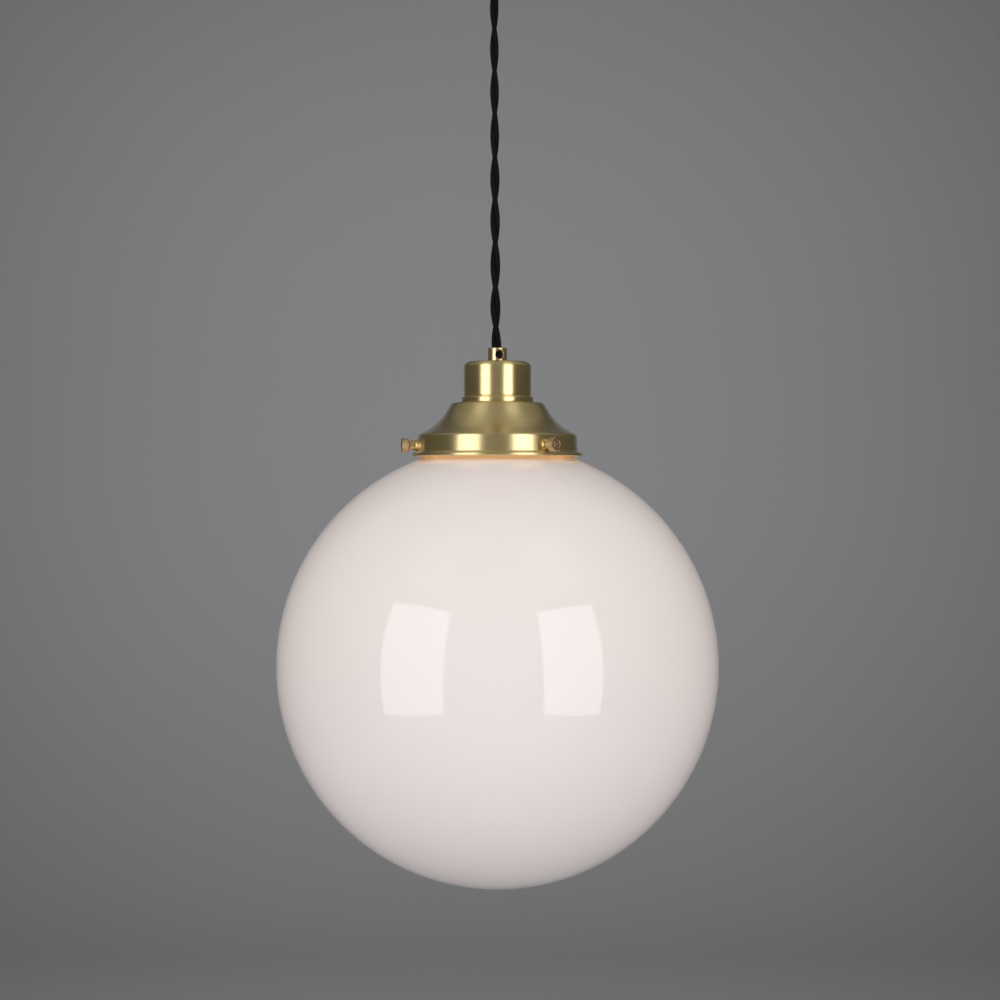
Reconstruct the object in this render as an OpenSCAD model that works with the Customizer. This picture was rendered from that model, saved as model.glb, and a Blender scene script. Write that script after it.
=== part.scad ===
// Pendant ceiling light: an opal glass globe held by three thumbscrews in a
// brass gallery, under a brass lampholder cap, on a short twisted flex from a
// ceiling rose. Millimetres, +Z up. The origin is on the ceiling, on the
// light's axis.

/* [Size] */
// Outside diameter of the glass globe
globe_d = 300; // [250:1:350]
// Distance from the ceiling down to the top of the gallery
drop = 322; // [260:1:1500]
// Diameter of the flex across both strands
flex_d = 6; // [5:0.5:6]

/* [Globe] */
// Thickness of the blown glass
glass_t = 2.8; // [2:0.1:4]
// Outside diameter of the globe's neck
neck_d = 92; // [88:1:92]
// Outside diameter of the lip that the thumbscrews carry
lip_d = 99; // [97:1:99]

/* [Brass] */
// Thickness of the spun brass sheet in the gallery
sheet_t = 0.8; // [0.6:0.1:1]
// Outside diameter of the cap over the lampholder
cap_d = 46; // [46:1:50]
// Direction of the first thumbscrew, in degrees from +X
screw_a = -53.8; // [-180:0.1:180]
// Direction of the cord grip's clamping screw, in degrees from +X
grip_screw_a = -76.2; // [-180:0.1:180]

/* [Rose] */
// Outside diameter of the ceiling rose
rose_d = 100; // [100:1:140]
// Depth of the ceiling rose's cover
rose_h = 22.6; // [22:0.1:40]
// Distance between the ceiling screws
screw_pitch = 60; // [56:1:64]

/* [Hidden] */

globe_r = globe_d / 2;
neck_r = neck_d / 2;
lip_r = lip_d / 2;
cap_r = cap_d / 2;
rose_r = rose_d / 2;
flex_r = flex_d / 2;
grip_r = 6.5;       // cord grips
grip_h = 9.4;
m10_r = 5;          // threaded stems
grip_bore = 4;      // bore that the flex passes through
lip_z = -26.6;      // underside of the lip
neck_z = -35.73;    // where the neck meets the ball
globe_z = neck_z - sqrt(globe_r * globe_r - neck_r * neck_r);
screw_z = -29;      // the thumbscrews' axes, under the lip
boss_end = 59.7;
mouth_z = -rose_h - grip_h;   // mouth of the rose's cord grip
pivot_z = mouth_z + 1.2;      // where the flex bends as the light swings
seat_z = 30;                  // shoulder in the lamp's cord grip
// Route of the hanging flex, from the ceiling rose down to the lamp
flex_route = [[0, 0, pivot_z], [0, 0, -drop / 3], [0, 0, -drop * 2 / 3], [0, 0, seat_z - drop]];
// Routes of the cores, in the rose and above the gallery
rose_route = [[0, 1.4, -12.6], [0, 1.6, -10.8], [-2.4, 4.2, -8], [-6, 5.2, -7], [-9.5, 5.2, -7], [-14.5, 5.2, -7]];
lamp_route = [[1.25, 0, 29.5], [1.25, 0, 24], [1.25, 0, 19], [2.6, 0, 13.6], [5.4, 0, 9.9], [7.6, 0, 9.3]];

brass = [0.78, 0.66, 0.36];
raw_brass = [0.76, 0.55, 0.33];
steel = [0.72, 0.72, 0.72];
porcelain = [0.93, 0.92, 0.88];

// ---- functions -------------------------------------------------------------

// A path of arcs [radius, turn, pieces] and straights [length, 0, 1] from p.
// The heading a runs downwards from horizontal; each point keeps its heading.
function path(p, a, steps, i = 0, k = 0) =
  i >= len(steps) ? [[p[0], p[1], a]] :
  let (s = steps[i], t = s[1] / s[2],
       l = t == 0 ? s[0] / s[2] : 2 * s[0] * sin(abs(t) / 2),
       q = [p[0] + l * cos(a + t / 2), p[1] - l * sin(a + t / 2)],
       last = k + 1 >= s[2])
  concat([[p[0], p[1], a]],
         path(q, a + t, steps, last ? i + 1 : i, last ? 0 : k + 1));

// The two faces of a sheet of thickness t whose outside follows a path
function sheet(pts, t) = concat(
  [for (q = pts) [q[0], q[1]]],
  [for (i = [len(pts) - 1 : -1 : 0]) let (q = pts[i])
    [q[0] - t * sin(q[2]), q[1] - t * cos(q[2])]]);

// Part of an ellipse in the plane of a turned profile
function bow(c, rx, rz, a0, a1, n) =
  [for (i = [0 : n]) let (a = a0 + (a1 - a0) * i / n) [c[0] + rx * cos(a), c[1] + rz * sin(a)]];

// A smooth curve through the points of a route
function bend(a, b, c, d, t) =
  0.5 * (2 * b + (c - a) * t + (2 * a - 5 * b + 4 * c - d) * t * t + (3 * b - a - 3 * c + d) * t * t * t);
function smooth(p, n) = concat(
  [for (i = [0 : len(p) - 2], k = [0 : n - 1])
    bend(p[max(i - 1, 0)], p[i], p[i + 1], p[min(i + 2, len(p) - 1)], k / n)],
  [p[len(p) - 1]]);
function unit(v) = v / norm(v);

// ---- shared shapes ---------------------------------------------------------

// A round tube swept along points; ref is never parallel to the route
module swept(p, r, sides, ref) {
  n = len(p);
  rings = [for (i = [0 : n - 1])
    let (t = unit(p[min(i + 1, n - 1)] - p[max(i - 1, 0)]),
         u = unit(cross(t, ref)), w = cross(u, t))
    for (j = [0 : sides - 1])
      p[i] + r * (cos(360 * j / sides) * u + sin(360 * j / sides) * w)];
  faces = concat(
    [[for (j = [0 : sides - 1]) j]],
    [for (i = [0 : n - 2], j = [0 : sides - 1])
      let (a = i * sides + j, b = i * sides + (j + 1) % sides)
      [b, a, a + sides, b + sides]],
    [[for (j = [sides - 1 : -1 : 0]) (n - 1) * sides + j]]);
  polyhedron(rings, faces, convexity = 4);
}

module turned(pts) { rotate_extrude($fn = 96) polygon(pts); }

module rod(r, z0, z1) { translate([0, 0, z0]) cylinder(h = z1 - z0, r = r, $fn = 48); }

// A plug of a turned part between two heights, with small bevels
module bevelled(r, z0, z1, b) {
  turned([[0, z0], [r - b, z0], [r, z0 + b], [r, z1 - b], [r - b, z1], [0, z1]]);
}

// Lays a shape built along +Z out along +X in a direction at a height
module radial(a, z) { rotate([0, 0, a]) translate([0, 0, z]) rotate([0, 90, 0]) children(); }

module at_lamp() { translate([0, 0, -drop]) children(); }

// A slot across the end of a screw whose axis is Z
module slot(z0, z1, w, l) { translate([-l / 2, -w / 2, z0]) cube([l, w, z1 - z0]); }

// ---- ceiling rose ----------------------------------------------------------

tab_x = rose_r - 2.4;

module ceiling_bracket() {
  color("silver") difference() {
    union() {
      translate([-tab_x, -8, -1.5]) cube([2 * tab_x, 16, 1.5]);
      for (s = [0, 180]) rotate([0, 0, s]) translate([tab_x - 1.5, -6, -10.5]) cube([1.5, 12, 9.5]);
    }
    rod(6, -3, 1);
    for (s = [0, 180]) rotate([0, 0, s]) {
      for (d = [-3.75, 3.75]) translate([screw_pitch / 2 + d, 0, 0]) rod(2.25, -3, 1);
      translate([screw_pitch / 2 - 3.75, -2.25, -3]) cube([7.5, 4.5, 4]);
      radial(0, -5.5) rod(1.5, tab_x - 4, tab_x + 2);
    }
    translate([15, 0, 0]) rod(1.75, -3, 1);
    translate([-16, 0, 0]) rod(1.5, -3, 1);
  }
}

module rose_cover() {
  e = [rose_r - 22, -8];
  color(brass) difference() {
    turned(concat(
      [[5.05, -rose_h]], bow(e, 22, rose_h - 8, -90, 0, 14), [[rose_r, 0], [rose_r - 1, 0]],
      bow(e, 21, rose_h - 9, 0, -90, 14), [[5.05, 1 - rose_h]]));
    for (s = [0, 180]) radial(s, -5.5) rod(1.7, rose_r - 4, rose_r + 2);
  }
}

module rose_side_screws() {
  color(raw_brass) for (s = [0, 180]) radial(s, -5.5) difference() {
    turned([[0, tab_x - 2], [1.5, tab_x - 2], [1.5, rose_r], [2.8, rose_r], [2.8, rose_r + 1.5],
            [2.3, rose_r + 2], [0, rose_r + 2]]);
    slot(rose_r + 1.2, rose_r + 3, 0.7, 8);
  }
}

// A cord grip: a turned barrel on a threaded stem, with a hole for its screw
module grip(z0, z1, stem, screw, up) {
  difference() {
    union() {
      turned([[0, z0], [grip_r - (up ? 0.2 : 0.6), z0], [grip_r, z0 + (up ? 0.2 : 0.6)],
              [grip_r, z1 - (up ? 0.6 : 0.2)], [grip_r - (up ? 0.6 : 0.2), z1], [0, z1]]);
      rod(m10_r, min(stem, z0), max(stem, z1));
    }
    children();
    radial(grip_screw_a, screw) {
      rod(2.25, 2, grip_r + 2);
      translate([0, 0, grip_r - 0.55]) cylinder(h = 2, r1 = 2.6, r2 = 4.2, $fn = 48);
    }
  }
}

// The slotted screw that clamps the flex: tip at t
module grip_screw(t) {
  difference() {
    bevelled(2.25, t, grip_r - 0.35, 0.3);
    rotate([0, 0, 35]) slot(grip_r - 1.25, grip_r + 1, 0.65, 8);
  }
}

module rose_grip() {
  color(brass) grip(mouth_z, -rose_h, 6 - rose_h, mouth_z + 6.8, false) {
    rod(grip_bore, mouth_z - 1, 0);
    rod(5, mouth_z - 1, mouth_z + 4.3);
    translate([0, 0, mouth_z - 0.01]) cylinder(h = 0.5, r1 = 5.5, r2 = 5, $fn = 48);
  }
}

module rose_grip_washer() {
  color(steel) difference() {
    rod(9, 1 - rose_h, 2 - rose_h);
    rod(5.2, -rose_h, 3 - rose_h);
  }
}

module rose_grip_nut() {
  color(brass) difference() {
    translate([0, 0, 2 - rose_h]) cylinder(h = 3.5, r = 7 / cos(30), $fn = 6);
    rod(m10_r, 1 - rose_h, 6 - rose_h);
  }
}

module rose_grip_screw() {
  color("dimgray") radial(grip_screw_a, mouth_z + 6.8) grip_screw(3.05);
}

module terminal_block() {
  color(porcelain) difference() {
    translate([-23, -10, -13.5]) cube([14, 20, 12]);
    for (y = [-5.2, 5.2]) {
      translate([0, y, -7]) rotate([0, 90, 0]) rod(2.4, -24, -8);
      for (x = [-19.5, -12.5]) translate([x, y, 0]) rod(1.6, -14.5, -8);
    }
    translate([-16, 0, 0]) { rod(1.6, -15, 0); rod(2.7, -15, -11.5); }
  }
}

module terminal_tubes() {
  color(raw_brass) for (y = [-5.2, 5.2]) translate([0, y, -7]) difference() {
    rotate([0, 90, 0]) rod(2.4, -22.5, -9.5);
    rotate([0, 90, 0]) rod(1.4, -24, -8);
    for (x = [-19.5, -12.5]) translate([x, 0, 0]) rod(1.25, -3, 0);
  }
}

module terminal_screws() {
  color(steel) for (y = [-5.2, 5.2], x = [-19.5, -12.5]) translate([x, y, 0]) difference() {
    rod(1.25, -12.6, -8.15);
    slot(-13, -11.9, 0.5, 4);
  }
}

module terminal_fixing_screw() {
  color(steel) translate([-16, 0, 0]) difference() {
    union() { rod(1.5, -11.5, -0.2); bevelled(2.5, -13.3, -11.5, 0.3); }
    slot(-14, -12.5, 0.6, 6);
  }
}

module earth_screw() {
  color(raw_brass) translate([15, 0, 0]) difference() {
    union() { rod(1.75, -2, -0.2); bevelled(3.3, -3.8, -1.5, 0.4); }
    slot(-4.5, -3, 0.7, 8);
  }
}

module flex_clamped_end() { color([0.08, 0.08, 0.08]) rod(flex_r, mouth_z + 4.4, -13); }

module rose_live_core() {
  color("saddlebrown") swept(smooth(rose_route, 3), 1.1, 8, [0, 1, 0]);
}
module rose_neutral_core() {
  color("royalblue") mirror([0, 1, 0]) swept(smooth(rose_route, 3), 1.1, 8, [0, 1, 0]);
}

// ---- flex ------------------------------------------------------------------

// Ring in the mouth of the rose's grip that the flex bends against
module flex_bush() {
  color("whitesmoke") difference() {
    bevelled(4.7, pivot_z - 1, pivot_z + 1, 0.2);
    rod(flex_r + 0.8, pivot_z - 2, pivot_z + 2);
  }
}

module flex() { color([0.06, 0.06, 0.06]) swept(smooth(flex_route, 6), flex_r, 12, [1, 0, 0]); }

// ---- body of the light -----------------------------------------------------

module lamp_grip() {
  color(brass) at_lamp() grip(28, 28 + grip_h, 21, 32.8, true) {
    rod(grip_bore, seat_z, 40);
    rod(2.6, 20, 40);
    translate([0, 0, 28 + grip_h - 0.5]) cylinder(h = 0.51, r1 = grip_bore, r2 = grip_bore + 0.5, $fn = 48);
  }
}

module lamp_grip_screw() {
  color("dimgray") at_lamp() radial(grip_screw_a, 32.8) grip_screw(3.7);
}

module holder_cap() {
  r = cap_r;
  out = concat([[m10_r, 28]], bow([r - 3.75, 24.25], 3.75, 3.75, 90, 0, 6),
    [[r, 5.1], [r - 0.35, 4.8], [r, 4.5], [r, 4.2], [r + 1.05, 4], [r + 1.55, 3.5], [r + 1.55, 0.5], [r + 1.15, 0]]);
  in = concat([[r - 1.2, 0], [r - 1.2, 23.8]], bow([r - 4.2, 23.8], 3, 3, 0, 90, 6), [[m10_r, 26.8]]);
  color(brass) at_lamp() turned(concat(out, in));
}

gallery_path = path([29.9, 0], 0,
  [[2.6, 58, 6], [6.4, 0, 1], [35, -29.2, 8], [5.7, 0, 1], [1.8, 57.2, 6], [9.8, 0, 1], [0.9, -76, 4], [0.6, 0, 1]]);

module gallery() {
  color(brass) at_lamp() difference() {
    union() {
      turned(concat([[20, 0]], sheet(gallery_path, sheet_t), [[20, -sheet_t]]));
      rotate_extrude($fn = 96) translate([56.4, -35.25]) circle(r = 1.6, $fn = 32);
    }
    for (k = [0 : 2]) radial(screw_a + 120 * k, screw_z) rod(2.2, 48, 70);
  }
}

// Tapped collars on the outside of the gallery for the thumbscrews
module thumbscrew_bosses() {
  color(brass) at_lamp() difference() {
    for (k = [0 : 2]) radial(screw_a + 120 * k, screw_z) difference() {
      turned([[0, 53], [3.4, 53], [3.4, boss_end - 0.3], [3.1, boss_end], [0, boss_end]]);
      rod(2.05, 50, 70);
    }
    turned(concat([[0, 0]], [for (q = gallery_path) [q[0], q[1]]], [[0, -36]]));
  }
}

module globe() {
  color([0.95, 0.93, 0.92]) at_lamp() difference() {
    union() {
      translate([0, 0, globe_z]) sphere(r = globe_r, $fn = 128);
      rod(neck_r, neck_z - 2, -22.8);
      turned([[0, lip_z], [lip_r - 0.8, lip_z], [lip_r, lip_z + 0.8], [lip_r, -23.8], [lip_r - 1, -22.8], [0, -22.8]]);
    }
    translate([0, 0, globe_z]) sphere(r = globe_r - glass_t, $fn = 128);
    rod(neck_r - 3, neck_z - 10, -20);
  }
}

// ---- lampholder ------------------------------------------------------------

module lampholder_dome() {
  color([0.15, 0.13, 0.12]) at_lamp() turned(concat(
    [[m10_r, 26.8], [7.5, 26.8]], bow([7.5, 10], 12, 10, 90, 0, 8), [[19.5, 2], [18, 2]],
    bow([7.5, 10], 10.5, 8.4, 0, 90, 8), [[m10_r, 18.4]]));
}

module lampholder_insert() {
  color(porcelain) at_lamp() difference() {
    rod(16.5, 1.5, 8);
    for (x = [-10.5, 10.5]) translate([x, 0, 0]) rod(1.5, 4, 9);
    rod(1.2, 0, 9);
  }
}

module lampholder_skirt() {
  color([0.15, 0.13, 0.12]) at_lamp() turned([
    [18, 7], [18, 2], [21.5, 2], [21.5, 0], [19.75, 0], [19.75, -31.4], [19.15, -32], [17.2, -32],
    [17.2, -1], [15.5, -1], [15.5, 1.5], [16.6, 1.5], [16.6, 7]]);
}

module shade_ring() {
  color([0.15, 0.13, 0.12]) at_lamp() turned([
    [19.75, -sheet_t], [25, -sheet_t], [25, -5.2], [24.4, -5.8], [19.75, -5.8]]);
}

module screw_shell() {
  color(raw_brass) at_lamp() turned([
    [13.5, -24], [13.9, -24], [13.9, 0.9], [15.2, 0.9], [15.2, 1.5], [13.5, 1.5]]);
}

module centre_contact() {
  color(raw_brass) at_lamp() {
    translate([-6, -2.5, 0.2]) cube([12, 5, 0.4]);
    rod(1.2, 0.6, 7);
  }
}

module lampholder_screws() {
  color(steel) at_lamp() for (x = [-10.5, 10.5]) translate([x, 0, 0]) difference() {
    union() { rod(1.5, 4, 9); bevelled(2.8, 8, 10, 0.3); }
    slot(9.2, 11, 0.6, 7);
  }
}

module lamp_live_core() {
  color("saddlebrown") at_lamp() swept(smooth(lamp_route, 3), 1.1, 8, [0, 1, 0]);
}
module lamp_neutral_core() {
  color("royalblue") at_lamp() mirror([1, 0, 0]) swept(smooth(lamp_route, 3), 1.1, 8, [0, 1, 0]);
}

// ---- thumbscrews -----------------------------------------------------------

module thumbscrew(k) {
  color(raw_brass) at_lamp() radial(screw_a + 120 * k, screw_z) difference() {
    turned([[0, 48.8], [2, 48.8], [2, 60.6], [4.4, 60.6], [4.8, 61], [4.8, 65.2], [4.3, 65.7], [0, 65.7]]);
    difference() { rod(2.9, 65.4, 67); rod(1.9, 65, 68); }
  }
}

// Soft tip that meets the glass
module thumbscrew_tip(k) {
  color("whitesmoke") at_lamp() radial(screw_a + 120 * k, screw_z)
    turned([[0, 46.3], [1.7, 46.3], [2, 46.6], [2, 48.8], [0, 48.8]]);
}

module thumbscrew_1_tip() { thumbscrew_tip(0); }
module thumbscrew_1() { thumbscrew(0); }
module thumbscrew_2_tip() { thumbscrew_tip(1); }
module thumbscrew_2() { thumbscrew(1); }
module thumbscrew_3_tip() { thumbscrew_tip(2); }
module thumbscrew_3() { thumbscrew(2); }

// ---- bulb ------------------------------------------------------------------

module bulb_contact() { color(steel) at_lamp() bevelled(4.5, -1.6, -0.3, 0.4); }

module bulb_insulator() {
  color([0.1, 0.1, 0.12]) at_lamp() translate([0, 0, -5]) cylinder(h = 3.4, r1 = 10.5, r2 = 6.5, $fn = 96);
}

module bulb_cap() {
  color(steel) at_lamp() turned([
    [0, -5], [10.5, -5], [13.2, -7.4], [13.2, -27.6], [12.7, -27.6], [12.7, -7.8], [10.2, -5.6], [0, -5.6]]);
}

bulb_r = 30;
function envelope(t) = concat(
  [[12.6 - t, -12], [12.6 - t, -27.8]],
  [for (i = [0 : 12]) [14.3 - t + (bulb_r - 14.3) * (1 - cos(15 * i)) / 2, -29.5 - 47.5 * i / 12]],
  [for (a = [-10 : -10 : -90]) [(bulb_r - t) * cos(a), -77 + (bulb_r - t) * sin(a)]]);

module bulb_glass() {
  o = envelope(0);
  i = envelope(0.8);
  color([0.9, 0.9, 0.9]) at_lamp()
    turned(concat(o, [for (k = [len(i) - 1 : -1 : 0]) i[k]]));
}

module bulb_stem() {
  color([0.85, 0.88, 0.88]) at_lamp() turned([
    [0, -13], [11.8, -13], [11.8, -14.2], [5.5, -18], [3.2, -26], [2.6, -54], [1.6, -56], [0, -56]]);
}

// Four upright filaments round the stem, and the wires that carry them
module bulb_filaments() {
  color([0.95, 0.8, 0.35]) at_lamp() for (a = [45 : 90 : 315]) rotate([0, 0, a])
    translate([8, 0, 0]) rod(0.9, -92, -56);
}

module bulb_wires() {
  color(steel) at_lamp() {
    for (a = [45 : 90 : 315]) rotate([0, 0, a]) {
      translate([8, 0, 0]) rod(0.35, -56, -51.6);
      translate([0, 0, -52]) rotate([0, 90, 0]) rod(0.35, 2.7, 8.3);
      translate([8, 0, 0]) rod(0.35, -96.4, -92);
      translate([0, 0, -96]) rotate([0, 90, 0]) rod(0.35, 0, 8.3);
    }
    rod(0.5, -96.5, -56);
  }
}

ceiling_bracket();
rose_cover();
rose_side_screws();
rose_grip();
rose_grip_washer();
rose_grip_nut();
rose_grip_screw();
terminal_block();
terminal_tubes();
terminal_screws();
terminal_fixing_screw();
earth_screw();
flex_clamped_end();
rose_live_core();
rose_neutral_core();
flex_bush();
flex();
lamp_grip();
lamp_grip_screw();
holder_cap();
gallery();
thumbscrew_bosses();
globe();
lampholder_dome();
lampholder_insert();
lampholder_skirt();
shade_ring();
screw_shell();
centre_contact();
lampholder_screws();
lamp_live_core();
lamp_neutral_core();
thumbscrew_1_tip();
thumbscrew_1();
thumbscrew_2_tip();
thumbscrew_2();
thumbscrew_3_tip();
thumbscrew_3();
bulb_contact();
bulb_insulator();
bulb_cap();
bulb_glass();
bulb_stem();
bulb_wires();
bulb_filaments();
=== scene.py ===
# Pendant ceiling light: looks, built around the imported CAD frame. Metres, +Z up, origin on the ceiling.
import math

import bmesh
import bpy
import numpy as np
from mathutils import Matrix, Vector


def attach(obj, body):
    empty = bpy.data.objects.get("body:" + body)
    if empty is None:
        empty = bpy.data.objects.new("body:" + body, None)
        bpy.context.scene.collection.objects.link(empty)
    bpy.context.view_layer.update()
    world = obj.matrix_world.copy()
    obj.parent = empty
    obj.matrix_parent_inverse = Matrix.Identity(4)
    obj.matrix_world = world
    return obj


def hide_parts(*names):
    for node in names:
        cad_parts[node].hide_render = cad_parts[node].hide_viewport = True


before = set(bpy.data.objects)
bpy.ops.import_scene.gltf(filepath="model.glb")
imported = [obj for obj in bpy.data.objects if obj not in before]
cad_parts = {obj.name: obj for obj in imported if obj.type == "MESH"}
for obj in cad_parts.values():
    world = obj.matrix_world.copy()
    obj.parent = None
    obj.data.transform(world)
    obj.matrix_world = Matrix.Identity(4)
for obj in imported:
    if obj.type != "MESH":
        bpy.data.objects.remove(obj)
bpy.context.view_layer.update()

MM = 0.001
DROP = 322.0  # ceiling to the gallery's top face, mm
SCREW_A = (-53.8, 66.2, 186.2)  # thumbscrews, degrees from +X
GRIP_A = -76.2  # clamping screw of the lamp's cord grip
scene = bpy.context.scene
root_coll = scene.collection


# ------------------------------------------------------------------ shapes

def turtle(p, a, steps, fine=1, line=1):
    """A path of arcs (radius, turn, pieces) and straights (length, 0, 1); the heading runs down from horizontal."""
    pts = [(p[0], p[1], a)]
    for size, turn, n in steps:
        n = n * fine if turn else line
        for _ in range(n):
            t = turn / n
            l = 2 * size * math.sin(math.radians(abs(t)) / 2) if turn else size / n
            h = math.radians(a + t / 2)
            p = (p[0] + l * math.cos(h), p[1] - l * math.sin(h))
            a += t
            pts.append((p[0], p[1], a))
    return pts


def rounded(poly, closed=True, n=6):
    """Corners (r, z, radius) with each corner rounded to its radius."""
    out = []
    m = len(poly)
    for i, q in enumerate(poly):
        x, y = q[0], q[1]
        rad = q[2] if len(q) > 2 else 0.0
        if rad <= 0 or (not closed and i in (0, m - 1)):
            out.append((x, y))
            continue
        p0 = np.array(poly[i - 1][:2], float)
        p2 = np.array(poly[(i + 1) % m][:2], float)
        p1 = np.array((x, y), float)
        u, v = p0 - p1, p2 - p1
        lu, lv = np.linalg.norm(u), np.linalg.norm(v)
        u, v = u / lu, v / lv
        ang = math.acos(max(-1.0, min(1.0, float(u @ v))))
        if ang > math.pi - 1e-3:
            out.append((x, y))
            continue
        d = min(rad / math.tan(ang / 2), 0.49 * lu, 0.49 * lv)
        rad = d * math.tan(ang / 2)
        a, b = p1 + u * d, p1 + v * d
        c = p1 + (u + v) / np.linalg.norm(u + v) * (rad / math.sin(ang / 2))
        a0 = math.atan2(*(a - c)[::-1])
        a1 = math.atan2(*(b - c)[::-1])
        da = (a1 - a0 + math.pi) % (2 * math.pi) - math.pi
        for k in range(n + 1):
            t = a0 + da * k / n
            out.append((c[0] + rad * math.cos(t), c[1] + rad * math.sin(t)))
    return out


def add_mesh(name, verts, faces, material, smooth=True, sharp=None):
    me = bpy.data.meshes.new(name)
    me.from_pydata([tuple(v) for v in verts], [], faces)
    bm = bmesh.new()
    bm.from_mesh(me)
    bmesh.ops.remove_doubles(bm, verts=bm.verts, dist=1e-7)
    bmesh.ops.recalc_face_normals(bm, faces=bm.faces)
    bm.to_mesh(me)
    bm.free()
    me.polygons.foreach_set("use_smooth", [smooth] * len(me.polygons))
    if sharp is not None:
        me.set_sharp_from_angle(angle=math.radians(sharp))
    me.materials.append(material)
    ob = bpy.data.objects.new(name, me)
    root_coll.objects.link(ob)
    return ob


def lathe(name, prof, material, seg=160, z0=0.0, closed=True, sharp=42, shape=None):
    """Turns a profile of (r, z) in mm about Z. A point with r = 0 is a pole. shape(r, z, angle) may move a point's radius."""
    verts, rows = [], []
    for r, z in prof:
        if r < 1e-6:
            rows.append([len(verts)])
            verts.append((0.0, 0.0, (z + z0) * MM))
            continue
        row = []
        for k in range(seg):
            a = 2 * math.pi * k / seg
            rr = shape(r, z, a) if shape else r
            row.append(len(verts))
            verts.append((rr * math.cos(a) * MM, rr * math.sin(a) * MM, (z + z0) * MM))
        rows.append(row)
    faces = []
    pairs = list(zip(rows, rows[1:]))
    if closed and not (len(rows[0]) == 1 and len(rows[-1]) == 1):
        pairs.append((rows[-1], rows[0]))
    for a, b in pairs:
        if len(a) == 1 and len(b) == 1:
            continue
        for k in range(seg):
            j = (k + 1) % seg
            if len(a) == 1:
                faces.append((a[0], b[k], b[j]))
            elif len(b) == 1:
                faces.append((a[k], b[0], a[j]))
            else:
                faces.append((a[k], b[k], b[j], a[j]))
    return add_mesh(name, verts, faces, material, True, sharp)


def arc(c, r, a0, a1, n, rz=None):
    rz = r if rz is None else rz
    return [(c[0] + r * math.cos(math.radians(a0 + (a1 - a0) * k / n)),
             c[1] + rz * math.sin(math.radians(a0 + (a1 - a0) * k / n))) for k in range(n + 1)]


def dense(prof, step):
    """Adds points along a profile's straights so that no step is longer than step."""
    out = [prof[0]]
    for p, q in zip(prof, prof[1:]):
        n = max(1, int(math.ceil(math.dist(p, q) / step)))
        out += [(p[0] + (q[0] - p[0]) * k / n, p[1] + (q[1] - p[1]) * k / n) for k in range(1, n + 1)]
    return out


def cut(ob, *cutters):
    """Cuts plain solids out of a piece and removes them."""
    for c in cutters:
        m = ob.modifiers.new("cut", "BOOLEAN")
        m.operation, m.solver, m.object = "DIFFERENCE", "EXACT", c
        bpy.context.view_layer.objects.active = ob
        with bpy.context.temp_override(object=ob, active_object=ob, selected_objects=[ob]):
            bpy.ops.object.modifier_apply(modifier=m.name)
        bpy.data.objects.remove(c, do_unlink=True)
    return ob


def resharpen(ob, angle):
    ob.data.polygons.foreach_set("use_smooth", [True] * len(ob.data.polygons))
    ob.data.set_sharp_from_angle(angle=math.radians(angle))


def radial_matrix(angle, z):
    """Local +Z out along a direction in the XY plane, at height z (mm); local +X down."""
    a = math.radians(angle)
    out = Vector((math.cos(a), math.sin(a), 0))
    x = Vector((0, 0, -1))
    y = out.cross(x)
    m = Matrix((x, y, out)).transposed().to_4x4()
    m.translation = Vector((0, 0, z * MM))
    return m


def box_mesh(name, lo, hi, material, bevel=0.0):
    x0, y0, z0 = lo
    x1, y1, z1 = hi
    v = [(x * MM, y * MM, z * MM) for x in (x0, x1) for y in (y0, y1) for z in (z0, z1)]
    f = [(0, 1, 3, 2), (4, 6, 7, 5), (0, 4, 5, 1), (2, 3, 7, 6), (0, 2, 6, 4), (1, 5, 7, 3)]
    ob = add_mesh(name, v, f, material, True, 30)
    if bevel:
        round_edges(ob, bevel)
    return ob


def round_edges(ob, width, angle=32, segments=3):
    m = ob.modifiers.new("edges", "BEVEL")
    m.width, m.segments, m.limit_method, m.angle_limit = width * MM, segments, "ANGLE", math.radians(angle)
    m.harden_normals = True
    return m


# ------------------------------------------------------------------ materials

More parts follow.
